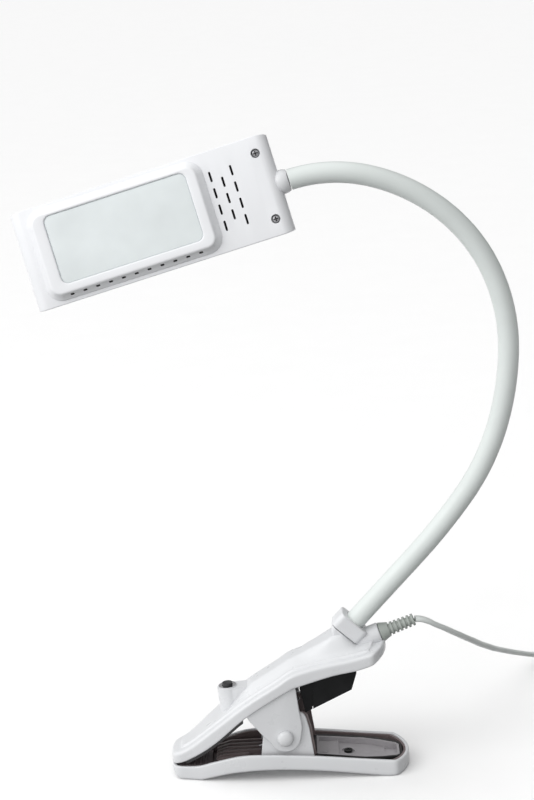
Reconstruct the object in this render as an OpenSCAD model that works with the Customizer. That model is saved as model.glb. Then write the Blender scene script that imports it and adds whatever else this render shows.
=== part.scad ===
// Clip-on reading lamp: a sprung clip in two jaws, a bendable neck and a flat LED head.
// X runs along the clip towards its handles, Y is away from the face of the head, Z is up.
// The clip stands on the two feet of its lower jaw, and the pivot pin lies along Y.

/* [Clip] */
// Width of both jaws
clip_w = 44; // [40:1:50]
// Thickness of the plastic walls
wall_t = 2.2; // [1.8:0.1:2.6]
// Position of the pivot pin along the clip, from the origin
pivot_x = -2.5; // [-4:0.5:0]
// Height of the pivot pin
pivot_z = 28; // [26:0.5:30]
// Radius of the pivot pin
pin_r = 2; // [1.5:0.1:2.5]

/* [Neck] */
// Outer radius of the neck
neck_r = 6.25; // [5.5:0.05:6.5]
// Length of one neck section
neck_step = 48; // [44:1:52]
// Angle of the neck where it leaves its collar
neck_angle = 46.6; // [40:0.2:55]

/* [Head] */
// Length of the head
head_l = 158; // [150:1:170]
// Width of the head
head_w = 60; // [54:1:66]
// Thickness of the head's two covers together
head_t = 15.5; // [14:0.5:18]
// How far the head is turned back to face upwards
head_tilt = 14.6; // [0:0.2:20]
// Length of the light window
lens_l = 87; // [80:1:92]
// Width of the light window
lens_w = 41; // [36:1:44]

/* [Cord] */
// Width of the flat mains cord
cord_w = 6; // [5:0.1:7]
// Thickness of the flat mains cord
cord_t = 3.6; // [3:0.1:4]

/* [Hidden] */
$fn = 64;
gap = 0.3;
eps = 0.01;
half_w = clip_w / 2;
pivot = [pivot_x, 0, pivot_z];

// ---------- smooth outlines ----------
// A Catmull-Rom curve through the given points, with n steps between each two.
function spline_at(a, b, c, d, t) =
    0.5 * (2 * b + (c - a) * t + (2 * a - 5 * b + 4 * c - d) * t * t + (3 * b - a - 3 * c + d) * t * t * t);
function spline(p, n = 4) = [
    for (i = [0 : len(p) - 2], k = [0 : n - 1])
        spline_at(p[max(i - 1, 0)], p[i], p[i + 1], p[min(i + 2, len(p) - 1)], k / n),
    p[len(p) - 1]
];
function back(p) = [for (i = [len(p) - 1 : -1 : 0]) p[i]];
function raised(p, dz) = [for (q = p) [q[0], q[1] + dz]];

// ---------- clip outlines, seen from the front ----------
lower_tip = -74;
lower_end = 74;
foot_tip = [-70, -56];
foot_end = 59;
lower_floor = concat(
    [[lower_tip, 5], [foot_tip[0], 0]],
    spline([[foot_tip[1], 0], [-34, 5.6], [-12, 7.2], [19, 5.2], [foot_end, 0]]),
    [[lower_end + 2, 0]]
);
lower_rim = spline([[lower_tip - 2, 8.6], [-59, 9.1], [-47, 12.6], [-31, 16.8], [-16, 17.4], [15, 15.4],
    [46, 12], [lower_end + 2, 9]]);
upper_top = spline([[lower_tip - 2, 15.8], [-64, 20.6], [-47, 34.2], [-27, 50.4], [-7, 63], [4, 69.8],
    [21, 74.4], [39, 77.6], [50, 80.4], [66, 85.2]]);
upper_edge = spline([[lower_tip - 2, 9.2], [-64, 12.9], [-47, 24.2], [-25, 43.4], [0, 58.8], [8, 62],
    [28, 67.7], [43, 70.4], [54, 73.8], [66, 78.4]]);

// ---------- clip outline, seen from above ----------
// Half of the plan: a narrow rounded tip, widening to the full width, then an arched end.
tip_plan = [[lower_tip, 0], [lower_tip + 0.6, 8], [-70.5, 12], [-62, 14.2], [-52, 16.8], [-40, 19.2],
    [-26, 21.4], [-12, half_w]];
end_bulge = 8.5;
function end_arc(x, h, n = 8) = [
    for (i = [0 : n]) let (r = (h * h + end_bulge * end_bulge) / (2 * end_bulge), a = asin(h / r) * (1 - i / n))
        [x - r + r * cos(a), r * sin(a)]
];
function half_plan(x, t) = concat(
    [for (p = spline(tip_plan, 3)) [max(p[0], lower_tip + t), max(p[1] - t, 0)]],
    end_arc(x - t, half_w - t)
);
function mirrored(p) = concat(p, [for (q = back(p)) [q[0], -q[1]]]);
module plan(x, t) {
    linear_extrude(height = 120, convexity = 4) polygon(mirrored(half_plan(x, t)));
}
// A shape drawn in X and Z, made y0 to y1 deep.
module slab(y0, y1) {
    translate([0, y1, 0]) rotate([90, 0, 0]) linear_extrude(height = y1 - y0, convexity = 8) children();
}
// A rod along Y.
module rod_y(r, y0, y1) {
    translate([0, y0, 0]) rotate([-90, 0, 0]) cylinder(r = r, h = y1 - y0);
}
module both_sides() {
    children();
    mirror([0, 1, 0]) children();
}

// ---------- cheeks that carry the pin ----------
upper_end = 62;
inner_y = half_w - wall_t;
upper_cheek_y = [inner_y - 2.4, inner_y + 0.2];
lower_cheek_y = [inner_y - 5, inner_y - 2.8];
lining_y = lower_cheek_y[0] - 1.2;
cheek_r = 9.5;
boss_r = 5;
module upper_cheek_outline() {
    polygon([[-27, 46], [-24.8, 41.4], [-16.3, 29.8], [pivot_x - 8.4, pivot_z - 4.4], [pivot_x + 9, pivot_z - 3],
        [8.3, 34.2], [6.7, 46], [4.9, 60], [-2, 60], [-12, 53]]);
    translate([pivot_x, pivot_z]) circle(r = cheek_r);
}
module lower_cheek_outline(t) {
    polygon([[-18.9 + t, 7], [-16.3 + t, 28.6], [-11, 40 - t], [-2, 43.6 - t], [7, 43.6 - t], [10.2 - t, 41],
        [12.5 - t, 31.9], [14.8 - t, 14], [15.2 - t, 7]]);
}

// ---------- lower jaw ----------
floor_t = 2.4;
rib_h = 2.2;
module lower_outline(lift, top) {
    polygon(concat(raised(lower_floor, lift), back(raised(lower_rim, top))));
}
module lower_shell() {
    color("whitesmoke") difference() {
        union() {
            intersection() {
                slab(-half_w, half_w) lower_outline(0, 0);
                plan(lower_end, 0);
            }
            both_sides() slab(lower_cheek_y[0], lower_cheek_y[1]) lower_cheek_outline(0);
        }
        difference() {
            intersection() {
                slab(-half_w, half_w) lower_outline(floor_t, 40);
                plan(lower_end, wall_t);
            }
            both_sides() slab(lower_cheek_y[0], lower_cheek_y[1]) lower_cheek_outline(0);
        }
        translate(pivot) rod_y(pin_r, -half_w, half_w);
        tray_screw_place() cylinder(r = 1.2, h = 12, center = true);
    }
}
liner_t = 1.2;
liner_clear = 0.1;
module lower_liner() {
    color([0.3, 0.24, 0.23]) difference() {
        union() {
            intersection() {
                slab(-half_w, half_w) lower_outline(floor_t + liner_clear, -0.8);
                difference() {
                    plan(lower_end, wall_t + liner_clear);
                    intersection() {
                        plan(lower_end, wall_t + liner_clear + liner_t);
                        slab(-half_w, half_w) lower_outline(floor_t + liner_clear + liner_t, 40);
                    }
                }
            }
            intersection() {
                both_sides() slab(lining_y, lower_cheek_y[0] - liner_clear)
                    for (x = [0, 2.1]) translate([x, 0]) lower_cheek_outline(0.8);
                slab(-half_w, half_w) lower_outline(floor_t + liner_clear, 60);
            }
            intersection() {
                liner_ribs();
                slab(-half_w, half_w) lower_outline(floor_t + liner_t, -1);
                plan(lower_end, wall_t + 1);
            }
        }
        both_sides() slab(lower_cheek_y[0] - liner_clear, lower_cheek_y[1] + liner_clear)
            lower_cheek_outline(-liner_clear);
        translate(pivot) rod_y(pin_r + 0.1, -half_w, half_w);
        tray_screw_place() cylinder(r = 1.3, h = 12, center = true);
        spring_seat();
    }
}
// Long ribs along the floor, which end in steps at the handle side.
rib_y = [-11, -6.6, -2.2, 2.2, 6.6, 11];
module liner_ribs() {
    for (i = [0 : len(rib_y) - 1])
        translate([-46, rib_y[i] - 0.8, 0]) cube([61 - 6 * (i % 3), 1.6, 13 + 0.3 * i]);
}
module spring_seat() {
    translate([-26, -9.4, 9.6]) cube([40, 4, 10]);
}
grip_x = [-70, -49];
module lower_grip() {
    color([0.43, 0.37, 0.39]) intersection() {
        union() {
            translate([grip_x[0], -12, 0]) cube([grip_x[1] - grip_x[0], 24, 8.2]);
            for (i = [0 : 3])
                translate([grip_x[0] + 7 + 3.4 * i, -12, 7.8])
                    rotate([-90, 0, 0]) cylinder(r = 1.1, h = 24, $fn = 6);
        }
        slab(-half_w, half_w) lower_outline(floor_t + liner_t + 2 * liner_clear, 40);
        plan(lower_end, wall_t + liner_t + 4 * liner_clear);
    }
}

// The grey dished tray that fills the lower handle. Two steps lead down from the pivot side, a pocket is
// sunk near its end, and one screw holds it from inside a round well.
tray_plan = [[16.5, 13.4], [46, 14.2], [57, 12.2], [66, 9.2], [67.8, 7]];
tray_rim = 1.5;
tray_web = 0.7;
tray_base = floor_t + liner_t + 3 * liner_clear;
well_r = 4;
module tray_slice(t, low, high) {
    intersection() {
        slab(-half_w, half_w) lower_outline(low, high);
        linear_extrude(height = 40) offset(delta = -t)
            polygon(concat(tray_plan, [for (i = [len(tray_plan) - 1 : -1 : 0])
                [tray_plan[i][0], -tray_plan[i][1]]]));
    }
}
module handle_tray() {
    color([0.62, 0.61, 0.63]) difference() {
        tray_slice(0, tray_base, -1.6);
        difference() {
            tray_slice(tray_rim, tray_base + 1.4, 20);
            translate([0, -12.2, 0]) cube([30, 24.4, 10.7]);
            translate([0, -8, 0]) cube([22.6, 16, 12]);
        }
        translate([58.8, 3, 4.7]) cube([6.4, 5.6, 8]);
        intersection() {
            tray_screw_place() cylinder(r = well_r, h = 20);
            slab(-half_w, half_w) lower_outline(tray_base + tray_web, 20);
        }
        tray_screw_place() cylinder(r = 1.3, h = 30, center = true);
    }
}
module tray_screw_place() {
    translate([36, 0, 7.1]) children();
}
module tray_screw() {
    color("silver") tray_screw_place() {
        difference() {
            translate([0, 0, 1.1]) cylinder(r = 2.7, h = 1.1);
            for (a = [0, 90])
                rotate([0, 0, a]) translate([-1.6, -0.35, 1.7]) cube([3.2, 0.7, 2]);
        }
        translate([0, 0, -3.2]) cylinder(r = 1.15, h = 4.4);
    }
}

// ---------- pivot ----------
module pivot_pin() {
    color("silver") translate(pivot) rod_y(pin_r, -upper_cheek_y[1] + 0.4, upper_cheek_y[1] - 0.4);
}
// A domed cap over each end of the pin.
module pivot_cap() {
    cap_h = 2;
    dome_h = 2.4;
    dome_r = (boss_r * boss_r + dome_h * dome_h) / (2 * dome_h);
    translate(pivot) translate([0, -upper_cheek_y[1], 0]) rotate([90, 0, 0]) {
        cylinder(r = boss_r, h = cap_h);
        intersection() {
            translate([0, 0, cap_h + dome_h - dome_r]) sphere(r = dome_r);
            cylinder(r = boss_r, h = 3 * boss_r);
        }
    }
}
module pivot_cap_near() {
    color("white") pivot_cap();
}
module pivot_cap_far() {
    color("white") mirror([0, 1, 0]) pivot_cap();
}
// Torsion spring: turns wound round the pin, in two halves, each with the leg that pushes on its jaw.
spring_wire = 0.9;
spring_r = 4.4;
module spring_half(y0, leg_y, leg_angle, leg_l) {
    turn = 2 * spring_wire * 0.96;
    translate(pivot) {
        translate([0, y0, 0]) rotate([-90, 0, 0]) rotate_extrude()
            difference() {
                union() for (i = [0 : 3]) translate([spring_r, spring_wire + turn * i]) circle(r = spring_wire);
                translate([-10, -1]) square([10, 20]);
            }
        translate([0, leg_y, 0]) rotate([0, leg_angle, 0]) translate([0, 0, -spring_r])
            rotate([0, -90, 0]) cylinder(r = spring_wire * 0.9, h = leg_l);
    }
}
module spring_lower() {
    color("gray") spring_half(-8.1, -7.2, -18, 19);
}
module spring_upper() {
    color("gray") spring_half(0.9, 6.9, 138, 17);
}

// ---------- upper jaw ----------
deck_t = 3;
module upper_outline(top, bottom) {
    polygon(concat(raised(upper_edge, bottom), back(raised(upper_top, top))));
}
// The neck's axis leaves the collar at collar_top, in the direction neck_angle.
collar_top = [44.3, 0, 95.8];
collar_h = 10.2;
collar_n = [-10.6, 10.2];
collar_y = 8;
collar_r = 3.5;
module neck_frame() {
    translate(collar_top) rotate([0, 90 - neck_angle, 0]) children();
}
// Section of the collar, across the neck's axis, grown by t.
module collar_section(t) {
    for (x = [collar_n[0] + collar_r - t, collar_n[1] - collar_r + t])
        for (y = [-collar_y + collar_r - t, collar_y - collar_r + t])
            translate([x, y]) circle(r = collar_r);
    translate([collar_n[0] - t, -collar_y + collar_r - t])
        square([collar_n[1] - collar_n[0] + 2 * t, 2 * (collar_y - collar_r + t)]);
    translate([collar_n[0] + collar_r - t, -collar_y - t])
        square([collar_n[1] - collar_n[0] - 2 * (collar_r - t), 2 * (collar_y + t)]);
}
deck_step = 1.2;
deck_inset = 7;
spine_y = 9.5;
module deck_raise() {
    intersection() {
        slab(-half_w, half_w)
            polygon(concat(raised(upper_top, -2), back(raised(upper_top, deck_step))));
        plan(upper_end - deck_inset, deck_inset);
    }
}
// The spine that carries the lead from the switch to the neck.
module spine() {
    hull() {
        slab(-spine_y - 2, spine_y + 2) polygon([[0, 66], [17, 75.6], [31, 78.6], [37, 74]]);
        slab(-spine_y + 2.4, spine_y - 2.4) polygon([[-4, 64], [8.5, 74.8], [17.7, 80.6], [31, 87], [37, 80]]);
    }
    neck_frame() translate([0, 0, -27]) linear_extrude(height = 27 - collar_h - 0.5) collar_section(-0.5);
}
gland_at = [59.2, 0, 86.6];
gland_angle = 20;
module gland_frame() {
    translate(gland_at) rotate([0, 90 - gland_angle, 0]) children();
}
module upper_shell() {
    color("white") difference() {
        union() {
            difference() {
                intersection() {
                    slab(-half_w, half_w) upper_outline(0, 0);
                    plan(upper_end, 0);
                }
                intersection() {
                    slab(-half_w, half_w) upper_outline(-deck_t, -12);
                    plan(upper_end, wall_t);
                }
            }
            deck_raise();
            intersection() {
                spine();
                slab(-half_w, half_w) polygon(concat(raised(upper_top, -deck_t + eps), [[80, 140], [-80, 140]]));
            }
            intersection() {
                gland_frame() translate([0, 0, -17]) cylinder(r = 6.6, h = 17);
                slab(-half_w, half_w) polygon(concat(raised(upper_top, -deck_t + eps), [[80, 140], [-80, 140]]));
            }
            both_sides() slab(upper_cheek_y[0], upper_cheek_y[1]) upper_cheek_outline();
        }
        translate(pivot) rod_y(pin_r + 0.06, -half_w, half_w);
        neck_frame() {
            translate([0, 0, -neck_root - 0.1]) cylinder(r = neck_r + 0.05, h = 20);
            translate([0, 0, -neck_root - 8]) cylinder(r = 3.4, h = 20);
            translate([0, 0, -collar_h - 0.1]) linear_extrude(height = collar_h + 10) collar_section(0.1);
        }
        gland_frame() {
            translate([0, 0, -relief_root - 3]) cylinder(r = relief_stem_r + 0.05, h = 30);
            cylinder(r = 6.6, h = 12);
        }
        switch_frame() translate([0, 0, -12]) cylinder(r = 3.4, h = 14);
    }
}
// Black lining under the jaw, which shows between the cheeks and the tip.
module upper_liner() {
    color([0.1, 0.09, 0.1]) difference() {
        intersection() {
            slab(-half_w, half_w)
                polygon(concat(raised(upper_edge, -2.6), back(raised(upper_edge, 3.2))));
            plan(upper_end, wall_t + liner_clear);
            translate([-65, -half_w, 0]) cube([37, clip_w, 80]);
        }
        intersection() {
            slab(-half_w, half_w)
                polygon(concat(raised(upper_edge, -6), back(raised(upper_edge, 1.6))));
            plan(upper_end, wall_t + liner_clear + liner_t);
        }
    }
}
module upper_grip() {
    color([0.4, 0.34, 0.36]) intersection() {
        union() {
            slab(-11, 11) polygon(concat(raised(upper_edge, -0.6), back(raised(upper_edge, 1.5))));
            for (x = [-66 : 3.4 : -54])
                translate([x, -11, 11.5 + 0.62 * (x + 66)]) rotate([-90, 0, 0]) cylinder(r = 1.1, h = 22, $fn = 6);
        }
        plan(upper_end, wall_t + liner_t + 4 * liner_clear);
        translate([-68, -12, 0]) cube([17, 24, 40]);
    }
}

// ---------- driver ----------
box_y = 13.1;
box_wall = 2;
module driver_box() {
    color([0.12, 0.12, 0.13]) difference() {
        slab(-box_y, box_y)
            polygon([[15.4, 43.5], [39.6, 55], [43, 65.6], [43, 75.2], [16, 70], [16, 57]]);
        slab(-box_y + box_wall, box_y - box_wall)
            polygon([[17.4, 46.4], [38.2, 56.6], [41, 66], [41, 72.8], [18, 68], [18, 57]]);
    }
}
// End cover of the driver box, with a flange that faces the spring.
module driver_cover() {
    color([0.15, 0.15, 0.16]) slab(-box_y + 0.4, box_y - 0.4)
        polygon([[10.6, 41.2], [15, 43.3], [15.7, 57], [15.7, 66.4], [9, 64], [7.6, 57]]);
}
module driver_board() {
    color("darkgreen") {
        translate([19, -10.5, 60]) cube([19, 21, 1.6]);
        translate([22, -6, 61.6]) cube([8, 9, 4.6]);
        translate([32, -3, 61.6]) cube([5, 7, 4]);
    }
}

// ---------- switch ----------
// A level boss on the sloping deck, with a round push button in a bright ring.
switch_at = [-37, 0, 56];
switch_lean = -4;
switch_r = 6.4;
switch_back = 15;
ring_r = 4.6;
button_r = 3.1;
module switch_frame() {
    translate(switch_at) rotate([0, switch_lean, 0]) children();
}
module switch_housing() {
    color("white") difference() {
        switch_frame() {
            translate([0, 0, -22]) cylinder(r = switch_r, h = 22);
            translate([0, -switch_r + 0.6, -22]) cube([switch_back, 2 * switch_r - 1.2, 22]);
        }
        slab(-half_w, half_w)
            polygon(concat(raised(upper_top, deck_step + 0.05), [[80, 0], [-80, 0]]));
        switch_frame() translate([0, 0, -30]) cylinder(r = ring_r, h = 40);
    }
}
module switch_ring() {
    color("silver") switch_frame() difference() {
        union() {
            translate([0, 0, -5]) cylinder(r = ring_r, h = 5);
            cylinder(r = ring_r + 0.9, h = 0.8);
        }
        translate([0, 0, -10]) cylinder(r = button_r + 0.3, h = 20);
    }
}
module switch_button() {
    color([0.08, 0.08, 0.09]) switch_frame() difference() {
        translate([0, 0, -2.6]) cylinder(r = button_r, h = 5);
        translate([0, 0, 2.4 + 7.6]) sphere(r = 8);
    }
}

// ---------- neck ----------
// The turn of each section, from the collar to the head: together they curl the neck over.
neck_root = 14;
neck_turns = [0, 7.2, 18.6, 15.4, 24.1, 26.9, 25.1, 31.2];
neck_lead = 6.4;
ball_r = neck_r - 0.15;
socket_r = neck_r + 0.35;
neck_start = collar_top + neck_lead * [cos(neck_angle), 0, sin(neck_angle)];
function neck_dir(i) = i == 0 ? neck_angle : neck_dir(i - 1) + neck_turns[i - 1];
function step_move(a, t) = t == 0
    ? neck_step * [cos(a), 0, sin(a)]
    : let (r = neck_step / (t * PI / 180)) r * [sin(a + t) - sin(a), 0, cos(a) - cos(a + t)];
function neck_at(i) = i == 0 ? neck_start : neck_at(i - 1) + step_move(neck_dir(i - 1), neck_turns[i - 1]);
head_at = neck_at(8);
head_dir = neck_dir(8);
// Local frame at the start of section i, with Z along the neck.
module section_frame(i) {
    translate(neck_at(i)) rotate([0, 90 - neck_dir(i), 0]) children();
}
// One bent length of neck, which starts at the frame's origin.
module bent_tube(turn) {
    if (turn == 0) {
        cylinder(r = neck_r, h = neck_step);
    } else {
        r = neck_step / (turn * PI / 180);
        translate([-r, 0, 0]) rotate([90, 0, 0])
            rotate_extrude(angle = turn, $fn = 360) translate([r, 0]) circle(r = neck_r, $fn = 64);
    }
}
module neck_section(i) {
    color([0.86, 0.88, 0.86]) difference() {
        union() {
            section_frame(i) bent_tube(neck_turns[i]);
            if (i > 0) section_frame(i) sphere(r = ball_r);
            if (i == 0) section_frame(0) translate([0, 0, -neck_lead - neck_root])
                cylinder(r = neck_r, h = neck_lead + neck_root + 0.5);
            if (i == 7) head_frame() rotate([0, 90, 0]) cylinder(r = spigot_r, h = 19);
        }
        if (i < 7) translate(neck_at(i + 1)) sphere(r = socket_r);
    }
}
module neck_section_0() { neck_section(0); }
module neck_section_1() { neck_section(1); }
module neck_section_2() { neck_section(2); }
module neck_section_3() { neck_section(3); }
module neck_section_4() { neck_section(4); }
module neck_section_5() { neck_section(5); }
module neck_section_6() { neck_section(6); }
module neck_section_7() { neck_section(7); }
module neck_collar() {
    color("white") difference() {
        neck_frame() translate([0, 0, -collar_h]) linear_extrude(height = collar_h) collar_section(0);
        neck_frame() translate([0, 0, -collar_h - 12]) cylinder(r = neck_r + 0.05, h = 30);
    }
}

// ---------- head ----------
// The head's frame: X from the neck to the far end, Y down across the head, Z out of the light window.
module head_frame() {
    translate(head_at) rotate([0, -head_dir, 0]) rotate([90 + head_tilt, 0, 0]) children();
}
head_x0 = 5.2;
end_r = 7;
head_wall = 2;
front_z = head_t / 2;
seam = 0.1;
// Points of a rounded rectangle.
function rounded(x0, x1, y0, y1, r, n = 6) = [
    for (c = [[x1 - r, y1 - r, 0], [x0 + r, y1 - r, 90], [x0 + r, y0 + r, 180], [x1 - r, y0 + r, 270]],
            i = [0 : n])
        [c[0] + r * cos(c[2] + 90 * i / n), c[1] + r * sin(c[2] + 90 * i / n)]
];
// A rounded rectangle centred on the origin.
function centred(l, w, r, n = 6) = rounded(-l / 2, l / 2, -w / 2, w / 2, r, n);
// The head's shape, drawn in X and Z and made as wide as the head, inset by t on every side.
// Its long sides slope inwards towards the back.
head_draft = 2.6;
module head_shape(t) {
    w = head_w / 2 - t;
    intersection() {
        translate([0, w, 0]) rotate([90, 0, 0]) linear_extrude(height = 2 * w)
            polygon(rounded(head_x0 + t, head_x0 + head_l - t, -front_z + t, front_z - t, end_r - t));
        rotate([90, 0, 90]) linear_extrude(height = head_x0 + head_l)
            polygon([[-w, front_z], [w, front_z], [w - head_draft, -front_z], [head_draft - w, -front_z]]);
    }
}
module half_space(front) {
    translate([-20, -head_w, front ? seam : -100 - seam]) cube([head_l + 60, 2 * head_w, 100]);
}
knob_r = 7.2;
knob_x = 4.2;
spigot_r = 4;
module knob_ball(r) {
    translate([knob_x, 0, 0]) sphere(r = r);
}
window_x = 100.5;
bezel_l = 108;
bezel_w = 55.6;
bezel_h = 6;
bezel_draft = 3.8;
bezel_skirt = 5;
screw_xy = [14, 19.9];
module at_head_screws() {
    for (y = [-screw_xy[1], screw_xy[1]]) translate([screw_xy[0], y, 0]) children();
}
// Rows of cooling slots beside the neck: distance from the neck, and how many in the row.
vent_rows = [[43, 4], [36.6, 3], [30.2, 4]];
vent_pitch = 9.9;
vent_l = 6.2;
vent_w = 1.3;
module vents() {
    for (row = vent_rows, i = [0 : row[1] - 1])
        translate([row[0], vent_pitch * (i - (row[1] - 1) / 2), 0])
            linear_extrude(height = 30) polygon(centred(vent_w, vent_l, 0.6, 3));
}
module head_covers(front) {
    intersection() {
        union() {
            difference() {
                head_shape(0);
                head_shape(head_wall);
            }
            at_head_screws() cylinder(r = 4, h = head_t - 2, center = true);
        }
        half_space(front);
    }
}
module head_front() {
    color("whitesmoke") head_frame() difference() {
        head_covers(true);
        knob_ball(knob_r + 0.1);
        translate([window_x, 0, 0]) linear_extrude(height = 30)
            polygon(centred(bezel_l - 2 * bezel_skirt + 0.2, bezel_w - 2 * bezel_skirt + 0.2, 4));
        vents();
        at_head_screws() {
            cylinder(r = 1.5, h = 30);
            translate([0, 0, front_z - 2.6]) cylinder(r = 3.2, h = 10);
        }
    }
}
module head_rear() {
    color("whitesmoke") head_frame() difference() {
        head_covers(false);
        knob_ball(knob_r + 0.1);
        at_head_screws() translate([0, 0, -front_z + 3]) cylinder(r = 1.2, h = 30);
    }
}
module head_screws() {
    color("silver") head_frame() at_head_screws() {
        difference() {
            translate([0, 0, front_z - 2.6]) cylinder(r = 2.8, h = 2.1);
            for (a = [45, 135])
                rotate([0, 0, a]) translate([-1.7, -0.4, front_z - 1.4]) cube([3.4, 0.8, 2]);
        }
        translate([0, 0, -front_z + 3.4]) cylinder(r = 1.15, h = head_t - 6);
    }
}
lens_r = 4.2;
lens_depth = 1.6;
slot_count = 11;
slot_pitch = 7.9;
module bezel() {
    color("white") head_frame() translate([window_x, 0, front_z]) difference() {
        union() {
            hull() {
                linear_extrude(height = 0.6) polygon(centred(bezel_l, bezel_w, 9));
                linear_extrude(height = bezel_h)
                    polygon(centred(bezel_l - 2 * bezel_draft, bezel_w - 2 * bezel_draft, 6.5));
            }
            translate([0, 0, -4]) linear_extrude(height = 4.2)
                polygon(centred(bezel_l - 2 * bezel_skirt, bezel_w - 2 * bezel_skirt, 3.8));
        }
        translate([0, 0, -10]) linear_extrude(height = 30) polygon(centred(lens_l, lens_w, lens_r));
        translate([0, 0, -10]) linear_extrude(height = 10 + bezel_h - lens_depth)
            polygon(centred(lens_l + 1.2, lens_w + 1.2, lens_r + 0.6));
        for (i = [0 : slot_count - 1])
            translate([slot_pitch * (i - (slot_count - 1) / 2) - 1.2, bezel_w / 2 - 6.4, 2.4])
                cube([2.4, 10, 1.6]);
    }
}
module diffuser() {
    color([0.88, 0.92, 0.92]) head_frame() translate([window_x, 0, front_z + bezel_h - lens_depth - 2.2])
        linear_extrude(height = 2.1) polygon(centred(lens_l + 0.9, lens_w + 0.9, lens_r + 0.4));
}
board_z = front_z - 1.6;
module led_board() {
    color("white") head_frame() translate([window_x, 0, board_z]) linear_extrude(height = 1.2)
        polygon(centred(lens_l + 0.8, lens_w + 0.8, lens_r));
}
led_grid = [8, 3];
module leds() {
    color([0.95, 0.9, 0.6]) head_frame() translate([window_x, 0, board_z + 1.2])
        for (i = [0 : led_grid[0] - 1], j = [0 : led_grid[1] - 1])
            translate([10.4 * (i - (led_grid[0] - 1) / 2) - 1.75, 13 * (j - (led_grid[1] - 1) / 2) - 1.4, 0])
                cube([3.5, 2.8, 0.8]);
}
module heat_plate() {
    color("silver") head_frame() translate([window_x, 0, board_z - 1.6]) linear_extrude(height = 1.5)
        polygon(centred(lens_l + 0.6, lens_w + 0.6, lens_r));
}
// The ball that carries the head on the end of the neck.
module head_knob() {
    color("white") head_frame() rotate([0, 90, 0]) rotate_extrude() difference() {
        translate([0, knob_x]) circle(r = knob_r);
        translate([-20, -20]) square([20 + spigot_r + 0.06, 40]);
        translate([-20, -20]) square([40, 20 + knob_x - 3.6]);
    }
}
// Clamp inside the head, round the neck's spigot.
module neck_socket() {
    color("silver") head_frame() difference() {
        translate([12, -8, -front_z + head_wall]) cube([8, 16, head_t - 2 * head_wall]);
        rotate([0, 90, 0]) cylinder(r = spigot_r + 0.06, h = 40);
    }
}

// ---------- cord ----------
relief_l = 22;
relief_root = 8;
relief_stem_r = 2.9;
rib_count = 6;
module strain_relief() {
    color([0.72, 0.75, 0.72]) gland_frame() {
        translate([0, 0, -relief_root]) cylinder(r = relief_stem_r, h = relief_root + 1);
        translate([0, 0, 0.3]) cylinder(r1 = 6.2, r2 = 4.4, h = 5.4);
        cylinder(r1 = 3.4, r2 = 2.6, h = relief_l);
        for (i = [0 : rib_count - 1])
            translate([0, 0, 7 + 2.75 * i]) cylinder(r = 4.1 - 0.06 * i, h = 1.25);
    }
}
// Where the cord runs: out of the relief, down behind the clip to the table, then to the coil.
cord_route = [
    [80.8, 0, 94.4], [84.5, 0.6, 93.8], [89, 2, 91.6], [93.5, 4.4, 88.2], [99, 8.5, 84], [104.5, 14, 79],
    [109.5, 20, 74.2], [114, 27, 69.2], [118.5, 34.5, 64.2], [123.5, 43, 58.4], [128.5, 53, 52.6],
    [133.5, 63.5, 46.6], [138.5, 75, 40.7], [143.5, 86.5, 35], [149, 98.5, 28.9], [155, 112, 22.4],
    [161.5, 126, 15.6], [168, 139, 9.6], [174.5, 150.5, 5.2], [181.5, 159.8, 3], [189, 166.6, 2.8],
    [195.5, 171, 4.4], [201.5, 174, 8], [207.5, 175.2, 12], [213.5, 174.2, 14], [220, 171.4, 13.9],
    [227, 168, 13.7]
];
cord_sides = 8;
cord_path = spline(cord_route, 2);
function unit(v) = v / norm(v);
function along(i) = unit(cord_path[min(i + 1, len(cord_path) - 1)] - cord_path[max(i - 1, 0)]);
function sideways(i) = unit(cross([0, 0, 1], along(i)));
function cord_ring(i) = [
    for (k = [0 : cord_sides - 1])
        cord_path[i] + sideways(i) * cord_w / 2 * cos(360 * k / cord_sides)
            + cross(along(i), sideways(i)) * cord_t / 2 * sin(360 * k / cord_sides)
];
module cord_tube() {
    n = len(cord_path);
    color("gainsboro") polyhedron(
        points = [for (i = [0 : n - 1]) each cord_ring(i)],
        faces = concat(
            [[for (k = [0 : cord_sides - 1]) k]],
            [for (i = [0 : n - 2], k = [0 : cord_sides - 1])
                let (a = i * cord_sides, b = (k + 1) % cord_sides)
                [a + k, a + cord_sides + k, a + cord_sides + b, a + b]],
            [[for (k = [cord_sides - 1 : -1 : 0]) (n - 1) * cord_sides + k]]
        )
    );
}
coil_at = [222, 134, 1];
coil_r = 33;
coil_half = cord_w + 0.2;
coil_h = 3 * cord_t;
module cord_coil() {
    color("gainsboro") translate(coil_at) rotate_extrude()
        translate([coil_r - coil_half, 0]) square([2 * coil_half, coil_h]);
}
tie_t = 0.8;
tie_w = 5;
module cord_tie() {
    tie_half = coil_half + 0.3;
    color("black") translate([coil_at[0] - coil_r, coil_at[1] - tie_w / 2, 0.1]) difference() {
        translate([-tie_half - tie_t, 0, 0])
            cube([2 * (tie_half + tie_t), tie_w, coil_h + 1.2 + 2 * tie_t]);
        translate([-tie_half, -1, tie_t]) cube([2 * tie_half, tie_w + 2, coil_h + 1.2]);
    }
}
plug_at = [coil_at[0] + 20, coil_at[1] - 44, 0.2];
plug_l = 36;
plug_t = 13;
module plug_body() {
    color("white") translate(plug_at) rotate([90, 0, 0]) hull() {
        linear_extrude(height = 1) polygon(rounded(-5, 5, 1.5, 11.5, 2.5, 4));
        translate([0, 0, 20]) linear_extrude(height = plug_l - 20) polygon(rounded(-13, 13, 0, plug_t, 3, 4));
    }
}
pin_pitch = 18.6;
module plug_pins() {
    color("silver") translate(plug_at + [0, -plug_l, plug_t / 2]) rotate([90, 0, 0])
        for (x = [-pin_pitch / 2, pin_pitch / 2]) translate([x, 0, 0]) cylinder(r = 2, h = 19);
}

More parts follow.
